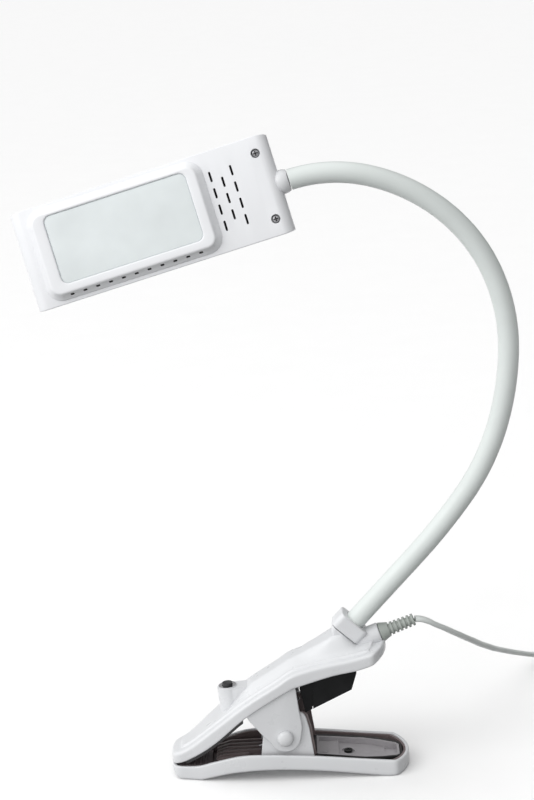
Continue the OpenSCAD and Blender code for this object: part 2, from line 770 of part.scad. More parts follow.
lower_shell();
lower_liner();
lower_grip();
handle_tray();
tray_screw();
pivot_pin();
spring_lower();
upper_shell();
upper_liner();
upper_grip();
pivot_cap_near();
pivot_cap_far();
spring_upper();
driver_box();
driver_cover();
driver_board();
neck_collar();
switch_housing();
switch_ring();
switch_button();
neck_section_0();
neck_section_1();
neck_section_2();
neck_section_3();
neck_section_4();
neck_section_5();
neck_section_6();
neck_section_7();
head_knob();
neck_socket();
head_front();
head_rear();
bezel();
diffuser();
led_board();
leds();
heat_plate();
head_screws();
strain_relief();
cord_tube();
cord_coil();
cord_tie();
plug_body();
plug_pins();
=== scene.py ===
import math

import bmesh
import bpy
import numpy as np
from mathutils import Matrix, Vector


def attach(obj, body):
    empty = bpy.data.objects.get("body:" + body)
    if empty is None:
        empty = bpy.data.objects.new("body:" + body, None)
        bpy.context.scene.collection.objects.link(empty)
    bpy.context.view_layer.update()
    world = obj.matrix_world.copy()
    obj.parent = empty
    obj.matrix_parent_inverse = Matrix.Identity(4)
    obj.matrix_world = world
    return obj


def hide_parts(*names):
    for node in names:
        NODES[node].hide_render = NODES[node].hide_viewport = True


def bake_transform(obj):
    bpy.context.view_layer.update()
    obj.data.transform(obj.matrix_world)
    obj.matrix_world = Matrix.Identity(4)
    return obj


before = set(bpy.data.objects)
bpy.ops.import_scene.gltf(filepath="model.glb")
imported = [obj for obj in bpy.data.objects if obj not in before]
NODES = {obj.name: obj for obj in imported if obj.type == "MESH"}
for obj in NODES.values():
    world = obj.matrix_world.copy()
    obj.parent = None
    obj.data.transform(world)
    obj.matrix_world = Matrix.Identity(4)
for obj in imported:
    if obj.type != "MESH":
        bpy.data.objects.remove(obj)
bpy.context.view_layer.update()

MM = 0.001

# ---------------------------------------------------------------- places, in millimetres
CLIP_W, WALL = 44.0, 2.2
HALF_W = CLIP_W / 2
PIVOT = (-2.5, 0.0, 28.0)
CAP_R, CAP_TIP_R, CAP_BARREL, CAP_DOME = 5.0, 0.25, 1.5, 2.7
LOWER_END, UPPER_END, END_BULGE = 74.0, 62.0, 8.5
TIP = -74.0
DECK_STEP, DECK_INSET, CROWN_HALF = 1.2, 7.0, 14.5
HARD_EDGE = 38.0
NECK_R, NECK_STEP, NECK_ANGLE, NECK_LEAD = 6.25, 48.0, 46.6, 6.4
NECK_TURNS = (0, 7.2, 18.6, 15.4, 24.1, 26.9, 25.1, 31.2)
NECK_SAMPLES = 16
COLLAR_TOP = (44.3, 0.0, 95.8)
COLLAR_H = 10.2
GLAND_AT, GLAND_ANGLE = (59.2, 0.0, 86.6), 20.0
HEAD_TILT = 14.6
HEAD_X0, HEAD_L, HEAD_W, HEAD_T, END_R, HEAD_DRAFT = 5.2, 158.0, 60.0, 15.5, 7.0, 2.6
WINDOW_X, BEZEL_L, BEZEL_W, BEZEL_H = 100.5, 108.0, 55.6, 6.0
BEZEL_CORNER, SHOULDER_AT, SHOULDER_R = 9.5, 3.1, 1.7
SLOT_COUNT, SLOT_PITCH = 11, 7.9
LENS_L, LENS_W, LENS_R, LENS_SHIFT = 87.0, 41.0, 4.2, np.array([-0.6, -1.5])
CORD_W, CORD_T = 6.0, 3.6
COIL_AT, COIL_START, COIL_OVER, COIL_END = (222.0, 134.0), 60, 40, -1830


# ---------------------------------------------------------------- small mathematics
def turn_x(a):
    c, s = math.cos(math.radians(a)), math.sin(math.radians(a))
    return np.array([[1, 0, 0], [0, c, -s], [0, s, c]])


def turn_y(a):
    c, s = math.cos(math.radians(a)), math.sin(math.radians(a))
    return np.array([[c, 0, s], [0, 1, 0], [-s, 0, c]])


def place(points, at=(0, 0, 0), turn=None):
    """Points turned by a 3 x 3 matrix and then moved to a place."""
    points = np.asarray(points, float)
    if turn is not None:
        points = points @ np.asarray(turn).T
    return points + np.asarray(at, float)


def smooth_line(points, n):
    """Catmull-Rom curve: each stretch is a cubic through four neighbouring points, sampled n times."""
    p = np.asarray(points, float)
    i = np.arange(len(p) - 1)
    a, b, c, d = p[np.maximum(i - 1, 0)], p[i], p[i + 1], p[np.minimum(i + 2, len(p) - 1)]
    t = (np.arange(n) / n)[None, :, None]
    a, b, c, d = (q[:, None, :] for q in (a, b, c, d))
    curve = 0.5 * (2 * b + (c - a) * t + (2 * a - 5 * b + 4 * c - d) * t**2
                   + (3 * b - a - 3 * c + d) * t**3)
    return np.vstack([curve.reshape(-1, p.shape[1]), p[-1:]])


def even(outline, n):
    """The same closed outline with n points an equal distance apart along it."""
    p = np.asarray(outline, float)
    p = np.vstack([p, p[:1]])
    run = np.concatenate([[0], np.cumsum(np.linalg.norm(np.diff(p, axis=0), axis=1))])
    at = np.linspace(0, run[-1], n, endpoint=False)
    return np.stack([np.interp(at, run, p[:, k]) for k in range(p.shape[1])], axis=1)


def soften(outline, width):
    """A closed outline averaged round its own length by a bell curve, which rounds its corners."""
    step = np.linalg.norm(np.roll(outline, -1, 0) - outline, axis=1).mean()
    k = np.arange(-int(3 * width / step) - 1, int(3 * width / step) + 2)
    w = np.exp(-0.5 * (k * step / width) ** 2)
    w /= w.sum()
    return sum(wk * np.roll(outline, -kk, 0) for kk, wk in zip(k, w))


def inset(outline, t):
    """A closed outline, anticlockwise, moved inwards by t along its own normals."""
    along = np.roll(outline, -1, 0) - np.roll(outline, 1, 0)
    along /= np.linalg.norm(along, axis=1)[:, None]
    return outline - t * np.stack([along[:, 1], -along[:, 0]], axis=1)


def rounded(x0, x1, y0, y1, r, n=8):
    """A rectangle with round corners, anticlockwise: four arcs of n steps."""
    a = np.radians(np.concatenate([np.linspace(q, q + 90, n + 1) for q in (0, 90, 180, 270)]))
    cx = np.repeat([x1 - r, x0 + r, x0 + r, x1 - r], n + 1)
    cy = np.repeat([y1 - r, y1 - r, y0 + r, y0 + r], n + 1)
    return np.stack([cx + r * np.cos(a), cy + r * np.sin(a)], axis=1)


def centred(length, width, r, t=0.0, n=8):
    return rounded(-length / 2 + t, length / 2 - t, -width / 2 + t, width / 2 - t, max(r - t, 0.3), n)


def lift(outline, z):
    """A flat outline as points in space, at one height or at a height for each point."""
    return np.column_stack([outline, np.broadcast_to(z, len(outline))])


# ---------------------------------------------------------------- materials
# most of a noise texture's values lie between these two
NOISE_LOW, NOISE_HIGH = 0.3, 0.7


def finish(name, colour, rough=0.35, metal=0.0, grain=0.0006, bump=0.02, blotch=0.05, vary=0.03, coat=0.0,
           gloss=0.5, streak=None, dust=0.0):
    """Moulded or drawn surface: the colour drifts slowly with a large noise, a fine noise gives the grain
    its bump, and the roughness follows a middle-sized one. streak stretches the grain along one axis."""
    m = bpy.data.materials.new(name)
    m.use_nodes = True
    t = m.node_tree
    b = t.nodes["Principled BSDF"]
    b.inputs["Metallic"].default_value = metal
    b.inputs["Coat Weight"].default_value = coat
    b.inputs["Coat Roughness"].default_value = 0.12
    b.inputs["Specular IOR Level"].default_value = gloss
    co = t.nodes.new("ShaderNodeTexCoord")
    mp = t.nodes.new("ShaderNodeMapping")
    if streak:
        mp.inputs["Scale"].default_value = streak
    t.links.new(co.outputs["Object"], mp.inputs["Vector"])

    def noise(size, detail):
        n = t.nodes.new("ShaderNodeTexNoise")
        n.inputs["Scale"].default_value = 1 / size
        n.inputs["Detail"].default_value = detail
        t.links.new(mp.outputs["Vector"], n.inputs["Vector"])
        return n.outputs["Fac"]

    def between(fac, low, high):
        r = t.nodes.new("ShaderNodeMapRange")
        r.inputs["From Min"].default_value = NOISE_LOW
        r.inputs["From Max"].default_value = NOISE_HIGH
        r.inputs["To Min"].default_value = low
        r.inputs["To Max"].default_value = high
        t.links.new(fac, r.inputs["Value"])
        return r.outputs["Result"]

    mix = t.nodes.new("ShaderNodeMix")
    mix.data_type = "RGBA"
    mix.inputs["A"].default_value = (*[c * (1 - vary) for c in colour], 1)
    mix.inputs["B"].default_value = (*[min(1, c * (1 + vary)) for c in colour], 1)
    t.links.new(between(noise(blotch, 3), 0, 1), mix.inputs["Factor"])
    last = mix.outputs["Result"]
    if dust:
        grime = t.nodes.new("ShaderNodeMix")
        grime.data_type = "RGBA"
        grime.inputs["B"].default_value = (*[c * 0.55 for c in colour], 1)
        t.links.new(last, grime.inputs["A"])
        t.links.new(between(noise(blotch * 0.4, 8), -0.6 * dust, dust), grime.inputs["Factor"])
        last = grime.outputs["Result"]
    t.links.new(last, b.inputs["Base Color"])
    t.links.new(between(noise(0.012, 4), rough * 0.85, rough * 1.18), b.inputs["Roughness"])
    bp = t.nodes.new("ShaderNodeBump")
    bp.inputs["Strength"].default_value = bump
    bp.inputs["Distance"].default_value = grain
    t.links.new(noise(grain, 5), bp.inputs["Height"])
    t.links.new(bp.outputs["Normal"], b.inputs["Normal"])
    return m


WHITE = finish("white moulding", (0.665, 0.675, 0.69), 0.3, bump=0.04, coat=0.15)
HEAD_WHITE = finish("head moulding", (0.80, 0.81, 0.83), 0.34, bump=0.05, coat=0.1)
SLEEVE = finish("neck sleeve", (0.66, 0.70, 0.685), 0.36, grain=0.0009, bump=0.08, blotch=0.03, coat=0.12)
CORD_PVC = finish("cord sheath", (0.68, 0.71, 0.695), 0.42, grain=0.0008, bump=0.1, blotch=0.02)
RELIEF = finish("strain relief rubber", (0.36, 0.39, 0.365), 0.5, grain=0.0007, bump=0.12, blotch=0.01,
                vary=0.05)
# painted shade: this brown on the liner inside the white jaw shell stands for the shade that falls inside the
# jaw
INNER_SHADE_BROWN = finish("painted inner shade brown", (0.17, 0.135, 0.135), 0.42, bump=0.15, vary=0.12, blotch=0.02, dust=0.3)
SCREW_STEEL = finish("screw steel", (0.27, 0.27, 0.28), 0.3, 1.0, bump=0.15, vary=0.2, blotch=0.002)
# painted shade: the tray screw is near black to stand for the shade in its hole
SCREW_HOLE_SHADE = finish("screw painted black for hole shade", (0.03, 0.03, 0.03), 0.4, 0.8, bump=0.1, vary=0.1, blotch=0.004)
# black for the upper liner, and painted shadow for the strip in the gap round the tray
BLACK_LINING_AND_GAP_SHADOW = finish("black lining and painted gap shadow", (0.018, 0.017, 0.018), 0.45, bump=0.15, vary=0.15, dust=0.2)
GRIP = finish("grip rubber", (0.13, 0.105, 0.11), 0.62, grain=0.0005, bump=0.3, vary=0.12, blotch=0.008)
TRAY = finish("grey tray", (0.37, 0.355, 0.37), 0.38, bump=0.12, vary=0.06, blotch=0.015, dust=0.15)
BOX_BLACK = finish("driver box black", (0.008, 0.0085, 0.009), 0.6, grain=0.0004, bump=0.25, vary=0.2,
                   blotch=0.01, gloss=0.14)
STEEL = finish("zinc plated steel", (0.42, 0.42, 0.43), 0.28, 1.0, bump=0.1, vary=0.1, blotch=0.003)
WIRE = finish("spring wire", (0.3, 0.3, 0.31), 0.32, 1.0, bump=0.1, vary=0.12, blotch=0.004)
CHROME = finish("switch ring chrome", (0.7, 0.7, 0.71), 0.09, 1.0, bump=0.02, vary=0.05, blotch=0.004)
BUTTON = finish("button black", (0.02, 0.02, 0.021), 0.25, bump=0.06, vary=0.1, blotch=0.004)
OPAL = finish("opal diffuser", (0.715, 0.76, 0.765), 0.42, grain=0.0004, bump=0.1, vary=0.06, blotch=0.035,
              coat=0.1)
BOARD_WHITE = finish("white board", (0.75, 0.76, 0.76), 0.4, bump=0.05)
BOARD_GREEN = finish("green board", (0.03, 0.16, 0.06), 0.35, bump=0.1, vary=0.15, blotch=0.004)
PHOSPHOR = finish("led phosphor", (0.85, 0.68, 0.2), 0.3, bump=0.05)
ALUMINIUM = finish("mill aluminium", (0.62, 0.62, 0.63), 0.35, 1.0, bump=0.1, streak=(1, 1, 14))
# painted shade: near black for the walls of cut slots and recesses, standing for the shade inside them
RECESS_SHADE = finish("painted recess shade", (0.012, 0.012, 0.013), 0.6, bump=0.1, vary=0.2, blotch=0.004)
TIE = finish("tie plastic", (0.02, 0.02, 0.02), 0.4, bump=0.15, vary=0.1, blotch=0.004)


# ---------------------------------------------------------------- turning points into pieces
def piece(name, points, faces, body, slot, material, sharp=HARD_EDGE, merge=1e-5):
    """A mesh from points in millimetres; its doubles are merged and its faces turned outwards."""
    mesh = bpy.data.meshes.new(name)
    mesh.from_pydata((np.asarray(points, float) * MM).tolist(), [], [list(map(int, f)) for f in faces])
    work = bmesh.new()
    work.from_mesh(mesh)
    bmesh.ops.remove_doubles(work, verts=work.verts, dist=merge)
    bmesh.ops.dissolve_degenerate(work, edges=work.edges, dist=merge / 2)
    bmesh.ops.recalc_face_normals(work, faces=work.faces)
    work.to_mesh(mesh)
    work.free()
    mesh.shade_smooth()
    mesh.set_sharp_from_angle(angle=math.radians(sharp))
    mesh.materials.append(material)
    obj = bpy.data.objects.new(name, mesh)
    bpy.context.scene.collection.objects.link(obj)
    if body:
        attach(obj, body)
    return obj


def loft(rings, ends=True):
    """Points and faces of a skin through rings of equal count; each end is closed by a fan to its middle."""
    rings = np.asarray(rings, float)
    k, n = rings.shape[:2]
    points = rings.reshape(-1, 3)
    i, j = np.meshgrid(np.arange(k - 1), np.arange(n), indexing="ij")
    i, j = i.ravel(), j.ravel()
    jn = (j + 1) % n
    faces = np.stack([i * n + j, i * n + jn, (i + 1) * n + jn, (i + 1) * n + j], axis=1).tolist()
    if ends:
        points = np.vstack([points, rings[0].mean(0), rings[-1].mean(0)])
        a, b, turn = k * n, k * n + 1, np.arange(n)
        faces += np.stack([(turn + 1) % n, turn, np.full(n, a)], axis=1).tolist()
        faces += np.stack([(k - 1) * n + turn, (k - 1) * n + (turn + 1) % n, np.full(n, b)], axis=1).tolist()
    return points, faces


def joined(*parts):
    """Several (points, faces) pairs as one."""
    points, faces, at = [], [], 0
    for p, f in parts:
        points.append(np.asarray(p, float))
        faces += [[q + at for q in face] for face in f]
        at += len(p)
    return np.vstack(points), faces


def slab(outline, low, high, r=0.6, steps=4):
    """A plate from a flat anticlockwise outline: its two rims are quarter rounds of radius r."""
    a = np.radians(np.linspace(0, 90, steps + 1))
    ins = r * (1 - np.sin(a))
    up = r * (1 - np.cos(a))
    rings = [lift(inset(outline, t), low + h) for t, h in zip(ins, up)]
    rings += [lift(inset(outline, t), high - h) for t, h in zip(ins[::-1], up[::-1])]
    return np.array(rings)


def lathe(profile, n=64):
    """A profile of (radius, height) pairs turned round the Z axis."""
    a = np.linspace(0, 2 * np.pi, n, endpoint=False)
    p = np.asarray(profile, float)
    return np.stack([p[:, :1] * np.cos(a), p[:, :1] * np.sin(a), np.repeat(p[:, 1:], n, 1)], axis=2)


def cut(obj, points, faces, material):
    """Takes a closed shape out of a piece; the new walls get the given material."""
    tool = piece(obj.name + "_tool", points, faces, None, None, material)
    m = obj.modifiers.new("cut", "BOOLEAN")
    m.operation, m.solver, m.object, m.material_mode = "DIFFERENCE", "EXACT", tool, "TRANSFER"
    shape = bpy.data.meshes.new_from_object(obj.evaluated_get(bpy.context.evaluated_depsgraph_get()))
    obj.modifiers.clear()
    obj.data = shape
    shape.set_sharp_from_angle(angle=math.radians(HARD_EDGE))
    bpy.data.objects.remove(tool)


# ---------------------------------------------------------------- camera, light and floor
ELEVATION, HEADING, ROLL = map(math.radians, (15.58, 1.05, 3.16))
EYE = np.array([0.0207, -1.2803, 0.5956])
ahead = np.array([-math.sin(HEADING) * math.cos(ELEVATION), math.cos(HEADING) * math.cos(ELEVATION),
                  -math.sin(ELEVATION)])
level = np.array([math.cos(HEADING), math.sin(HEADING), 0.0])
above = np.cross(level, ahead)
right = math.cos(ROLL) * level - math.sin(ROLL) * above
up = math.sin(ROLL) * level + math.cos(ROLL) * above
camera = bpy.data.objects.new("camera", bpy.data.cameras.new("camera"))
camera.data.lens, camera.data.sensor_width = 100.0, 36.0
camera.data.clip_end = 50
camera.matrix_world = Matrix([[right[k], up[k], -ahead[k], EYE[k]] for k in range(3)] + [[0, 0, 0, 1]])
bpy.context.scene.collection.objects.link(camera)
bpy.context.scene.camera = camera


# a wide soft sky: brightest up on the left and in front, and dim on the right
SKY_FROM, SKY_LOW, SKY_HIGH = (-0.62, -0.38, 0.69), 0.1, 1.42
world = bpy.data.worlds.new("studio")
world.use_nodes = True
sky = world.node_tree
way = sky.nodes.new("ShaderNodeTexCoord")
facing = sky.nodes.new("ShaderNodeVectorMath")
facing.operation = "DOT_PRODUCT"
facing.inputs[1].default_value = SKY_FROM
level_of = sky.nodes.new("ShaderNodeMapRange")
level_of.interpolation_type = "SMOOTHSTEP"
for name, value in (("From Min", -0.45), ("From Max", 0.95), ("To Min", SKY_LOW), ("To Max", SKY_HIGH)):
    level_of.inputs[name].default_value = value
sky.links.new(way.outputs["Generated"], facing.inputs[0])
sky.links.new(facing.outputs["Value"], level_of.inputs["Value"])
sky.links.new(level_of.outputs["Result"], sky.nodes["Background"].inputs["Strength"])
sky.nodes["Background"].inputs["Color"].default_value = (1, 1, 1, 1)
bpy.context.scene.world = world
bpy.context.scene.view_settings.view_transform = "Standard"

lamp_data = bpy.data.lights.new("key", "AREA")
lamp_data.shape, lamp_data.size, lamp_data.size_y = "RECTANGLE", 1.2, 1.2
lamp_data.energy = 9
key = bpy.data.objects.new("key", lamp_data)
key.location = (-1.5, -0.9, 1.4)
key.rotation_mode = "QUATERNION"
key.rotation_quaternion = (-key.location + Vector((0, 0, 0.2))).to_track_quat("-Z", "Y")
bpy.context.scene.collection.objects.link(key)

floor_mesh = bpy.data.meshes.new("floor")
floor_mesh.from_pydata([(-40, -40, 0), (40, -40, 0), (40, 40, 0), (-40, 40, 0)], [], [(0, 1, 2, 3)])
floor = bpy.data.objects.new("floor", floor_mesh)
floor_mesh.materials.append(finish("floor", (0.97, 0.97, 0.97), 0.9, vary=0.005, bump=0.01))
bpy.context.scene.collection.objects.link(floor)
floor.visible_diffuse = False

# ---------------------------------------------------------------- cord
CORD_ROUTE = [
    [80.8, 0, 94.4], [84.5, 0.6, 93.8], [89, 2, 91.6], [93.5, 4.4, 88.2], [99, 8.5, 84], [104.5, 14, 79],
    [109.5, 20, 74.2], [114, 27, 69.2], [118.5, 34.5, 64.2], [123.5, 43, 58.4], [128.5, 53, 52.6],
    [133.5, 63.5, 46.6], [138.5, 75, 40.7], [143.5, 86.5, 35], [149, 98.5, 28.9], [155, 112, 22.4],
    [161.5, 126, 15.6], [168, 139, 9.6], [174.5, 150.5, 5.2], [181.5, 159.8, 3], [189, 166.6, 2.8],
    [195.5, 171, 4.4], [201.5, 174, 8], [207.5, 175.2, 12], [213.5, 174.2, 14], [220, 171.4, 13.9],
    [227, 168, 13.7],
]


def coil_turns():
    """Six turns wound clockwise: two side by side on each of three layers, from the top one down.
    Radius and height step over within 40 degrees at the far side of the ring, and hold between."""
    places = np.array([(29.9, 10.0), (36.1, 10.0), (36.1, 6.4), (29.9, 6.4), (29.9, 2.8), (36.1, 2.8)])
    last = len(places) - 1
    angle = np.arange(COIL_START, COIL_START - 360 * len(places) + COIL_OVER, -15.0)
    turns = (COIL_START - angle) / 360
    which = np.minimum(np.floor(turns + 1e-9).astype(int), last)
    part = np.clip((turns - which - (360 - COIL_OVER) / 360) / (COIL_OVER / 360), 0, 1)
    part = part * part * (3 - 2 * part)
    here, after = places[which], places[np.minimum(which + 1, last)]
    r, z = (here + (after - here) * part[:, None]).T
    a = np.radians(angle)
    keep = angle > COIL_END
    return np.stack([COIL_AT[0] + r * np.cos(a), COIL_AT[1] + r * np.sin(a), z], axis=1)[keep]


coil = coil_turns()
lead_in = [[233, 164.6, 13.2], [238.5, 160.3, 11.4]]
lead_out = [[252.5, 112, 2.8], [249, 102, 3.4], [245.5, 94, 5.2], [242.6, 87.5, 6.6]]
cord_line = smooth_line(np.vstack([CORD_ROUTE, lead_in, coil[2:], lead_out]), 6)


def flat_cord(line, n=20):
    """Carries a flat section with a shallow groove along each face, as two cores side by side give it."""
    along = np.gradient(line, axis=0)
    along /= np.linalg.norm(along, axis=1)[:, None]
    side = np.cross([0, 0, 1.0], along)
    side /= np.linalg.norm(side, axis=1)[:, None]
    over = np.cross(along, side)
    a = np.linspace(0, 2 * np.pi, n, endpoint=False)
    wide = CORD_W / 2 * np.sign(np.cos(a)) * np.abs(np.cos(a)) ** 0.8
    tall = CORD_T / 2 * np.sin(a) * (1 - 0.14 * np.exp(-((np.cos(a) / 0.22) ** 2)))
    return line[:, None] + side[:, None] * wide[None, :, None] + over[:, None] * tall[None, :, None]


cord = piece("mains_cord", *loft(flat_cord(cord_line)), None, "cord_grey", CORD_PVC, merge=1e-6)
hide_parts("cord_tube", "cord_coil")
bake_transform(cord)

# ---------------------------------------------------------------- neck
def neck_axis():
    """Arcs of one length, each turning by its own angle: points, directions and the joint places."""
    joints, line = [], []
    x = COLLAR_TOP[0] + NECK_LEAD * math.cos(math.radians(NECK_ANGLE))
    z = COLLAR_TOP[2] + NECK_LEAD * math.sin(math.radians(NECK_ANGLE))
    d = NECK_ANGLE
    for k, turn in enumerate(NECK_TURNS):
        joints.append((x, 0.0, z, d))
        for _ in range(NECK_SAMPLES):
            step = NECK_STEP / NECK_SAMPLES
            mid = math.radians(d + turn / (2 * NECK_SAMPLES))
            line.append((x, 0.0, z, d))
            x += step * math.cos(mid)
            z += step * math.sin(mid)
            d += turn / NECK_SAMPLES
    joints.append((x, 0.0, z, d))
    line.append((x, 0.0, z, d))
    return np.array(line), np.array(joints)


axis_line, neck_joints = neck_axis()


def sleeve(first, last, at_collar):
    """The round sleeve along the neck's axis from one sample to another, a ring of points for each."""
    rows = axis_line[first:last + 1]
    if at_collar:
        a = math.radians(NECK_ANGLE)
        lead = [(COLLAR_TOP[0] - t * math.cos(a), 0, COLLAR_TOP[2] - t * math.sin(a), NECK_ANGLE)
                for t in (8, 4, 0, -3)]
        rows = np.vstack([lead, rows])
    d = np.radians(rows[:, 3])
    out = np.stack([np.sin(d), np.zeros(len(d)), -np.cos(d)], axis=1)
    a = np.linspace(0, 2 * np.pi, 64, endpoint=False)
    return (rows[:, None, :3] + NECK_R * (out[:, None] * np.cos(a)[None, :, None]
                                          + np.array([0, 1.0, 0])[None, None] * np.sin(a)[None, :, None]))


for k in range(1, 8):
    low = 0 if k == 1 else NECK_SAMPLES * (k - 1) + NECK_SAMPLES // 2
    high = NECK_SAMPLES * 8 if k == 7 else NECK_SAMPLES * k + NECK_SAMPLES // 2
    part = piece(f"neck_sleeve_{k}", *loft(sleeve(low, high, k == 1)), None, "neck_sleeve", SLEEVE, sharp=60)
    x, _, z, d = neck_joints[k]
    way = np.array([math.cos(math.radians(d)), 0, math.sin(math.radians(d))])
    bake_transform(part)
    replaced = [f"neck_section_{k}"] + (["neck_section_0"] if k == 1 else [])
    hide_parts(*replaced)

# ---------------------------------------------------------------- head
HEAD_AT = neck_joints[8][:3]
HEAD_TURN = turn_y(-neck_joints[8][3]) @ turn_x(90 + HEAD_TILT)


def head_cover(front):
    """Half of the flat housing: the outline in length and thickness, drawn across the width."""
    r, t = END_R, HEAD_T / 2
    a = np.radians(np.linspace(0, 90, 13))
    x0, x1 = HEAD_X0, HEAD_X0 + HEAD_L
    seam = 0.12
    far = np.stack([x1 - r + r * np.cos(a), t - r + r * np.sin(a)], axis=1)
    near = np.stack([x0 + r - r * np.sin(a), t - r + r * np.cos(a)], axis=1)
    top = np.stack([np.linspace(x1 - r, x0 + r, 34)[1:-1], np.full(32, t)], axis=1)
    base = np.stack([np.linspace(x0, x1, 36), np.full(36, seam)], axis=1)
    half = np.vstack([far, top, near, base])
    rings = slab(half, -HEAD_W / 2, HEAD_W / 2, 0.7, 4)
    # the plate was drawn in length, thickness, width: width goes on Y, and the sides slope in to the back
    flat = rings[..., [0, 2, 1]] * np.array([1, 1, 1.0 if front else -1.0])
    flat[..., 1] *= 1 - HEAD_DRAFT / (HEAD_W / 2) * (HEAD_T / 2 - flat[..., 2]) / HEAD_T
    return flat


front = piece("head_front_cover", *loft(head_cover(True)), None, None, HEAD_WHITE)
VENT_ROWS = ((43.0, 4), (36.6, 3), (30.2, 4))
cutters = []
for x, count in VENT_ROWS:
    for i in range(count):
        slot = centred(1.3, 6.2, 0.62, n=4) + np.array([x, 9.9 * (i - (count - 1) / 2)])
        cutters.append(loft([lift(slot, 3.0), lift(slot, 9.0)]))
# the vent slots' walls are painted near black as the shade inside them
cut(front, *joined(*cutters), RECESS_SHADE)
SCREW_PLACES = [np.array([14.0, 19.9 * side, 0]) for side in (-1, 1)]
wells = [loft(lathe([(2.6, 4.6), (2.6, 7.3), (2.8, 7.6), (3.1, 9.0)], 40) + at) for at in SCREW_PLACES]
cut(front, *joined(*wells), HEAD_WHITE)


def settle(obj, body):
    """Puts a piece drawn in the head's own frame in its place, and lets it ride."""
    obj.data.transform(Matrix([[*(HEAD_TURN[k]), HEAD_AT[k] * MM] for k in range(3)] + [[0, 0, 0, 1]]))
    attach(obj, body)
    return obj


settle(front, "head")
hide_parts("head_front")

# the screws: low domed heads with a cross recess
screws = piece("head_screw_pair", *joined(*[
    loft(lathe([(2.3, 4.65), (2.3, 6.3), (2.15, 6.75), (1.7, 7.05), (0.9, 7.2), (0.3, 7.22)], 40) + at)
    for at in SCREW_PLACES]), None, None, SCREW_STEEL)
half_arm, reach = 0.34, 1.45
cross = np.array([[-reach, -half_arm], [-half_arm, -half_arm], [-half_arm, -reach], [half_arm, -reach],
                  [half_arm, -half_arm], [reach, -half_arm], [reach, half_arm], [half_arm, half_arm],
                  [half_arm, reach], [-half_arm, reach], [-half_arm, half_arm], [-reach, half_arm]])
# the cross recesses are painted near black as their shade
cut(screws, *joined(*[loft([lift(cross, 6.0) + at, lift(cross, 8.0) + at]) for at in SCREW_PLACES]), RECESS_SHADE)
settle(screws, "head")
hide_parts("head_screws")
rear = piece("head_rear_cover", *loft(head_cover(False)), None, None, HEAD_WHITE)
settle(rear, "head")
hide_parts("head_rear")

# bezel: foot, drafted wall, rounded shoulder, flat top, rolled inner lip, and down to the diffuser
base_z = HEAD_T / 2
rings = []
for t, z in [(0.0, -0.6), (0.0, 0.0), (0.15, 0.5), (0.9, 1.3), (1.9, 2.6), (2.9, 4.2)]:
    rings.append(lift(centred(BEZEL_L, BEZEL_W, BEZEL_CORNER, t), base_z + z))
for a in np.radians(np.linspace(15, 90, 6)):
    shoulder = centred(BEZEL_L, BEZEL_W, BEZEL_CORNER, SHOULDER_AT + SHOULDER_R * (1 - math.cos(a)))
    rings.append(lift(shoulder, base_z + BEZEL_H - SHOULDER_R + SHOULDER_R * math.sin(a)))
for grow, z in [(0.9, 0.0), (0.5, -0.08), (0.2, -0.3), (0.0, -0.7), (0.0, -1.7)]:
    opening = centred(LENS_L + 2 * grow, LENS_W + 2 * grow, LENS_R + grow) + LENS_SHIFT
    rings.append(lift(opening, base_z + BEZEL_H + z))
bezel = piece("bezel_frame", *loft(rings), None, None, HEAD_WHITE, sharp=50)
slots = []
for i in range(SLOT_COUNT):
    x = WINDOW_X + SLOT_PITCH * (i - SLOT_COUNT // 2)
    slot = rounded(-1.2, 1.2, 2.5, 4.1, 0.5, 3)
    ring = np.stack([slot[:, 0] + x - WINDOW_X, np.full(len(slot), BEZEL_W / 2 - 5.0),
                     slot[:, 1] + base_z], axis=1)
    slots.append(loft([ring, ring + np.array([0, 8.0, 0])]))
# the bezel slots' walls are painted near black as the shade inside them
cut(bezel, *joined(*slots), RECESS_SHADE)
bezel.data.transform(Matrix.Translation((WINDOW_X * MM, 0, 0)))
settle(bezel, "head")
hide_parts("bezel")

rings = [lift(centred(LENS_L + 0.6, LENS_W + 0.6, LENS_R) + LENS_SHIFT, base_z + BEZEL_H - 3.4)]
rings += [lift(centred(LENS_L, LENS_W, LENS_R, t) + LENS_SHIFT, base_z + BEZEL_H - 0.8 + z)
          for t, z in [(0.05, -0.4), (0.3, -0.1), (0.9, 0.0), (4, 0.06), (10, 0.16), (16, 0.22)]]
lens = piece("diffuser_plate", *loft(rings), None, None, OPAL, sharp=50)
lens.data.transform(Matrix.Translation((WINDOW_X * MM, 0, 0)))
settle(lens, "head")
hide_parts("diffuser")

# ---------------------------------------------------------------- clip outlines
RIM = smooth_line([[TIP - 2, 8.6], [-59, 9.1], [-47, 12.6], [-31, 16.8], [-16, 17.4], [15, 15.4], [46, 12],
                   [LOWER_END + 2, 9]], 12)
FLOOR = np.vstack([[[TIP - 1, 5.8], [TIP, 5.0], [-72, 2.2], [-70, 0.4], [-67, 0]],
                   smooth_line([[-56, 0], [-34, 5.6], [-12, 7.2], [19, 5.2], [59, 0]], 12),
                   [[LOWER_END + 2, 0]]])
TOP = smooth_line([[TIP - 2, 15.8], [-64, 20.6], [-47, 34.2], [-27, 50.4], [-7, 63], [4, 69.8], [21, 74.4],
                   [39, 77.6], [50, 80.4], [66, 85.2]], 12)
EDGE = smooth_line([[TIP - 2, 9.2], [-64, 12.9], [-47, 24.2], [-25, 43.4], [0, 58.8], [8, 62], [28, 67.7],
                    [43, 70.4], [54, 73.8], [66, 78.4]], 12)
TIP_PLAN = [[TIP, 0], [TIP + 0.6, 8], [-70.5, 12], [-62, 14.2], [-52, 16.8], [-40, 19.2], [-26, 21.4],
            [-12, HALF_W]]


def height(line, x):
    return np.interp(x, line[:, 0], line[:, 1])


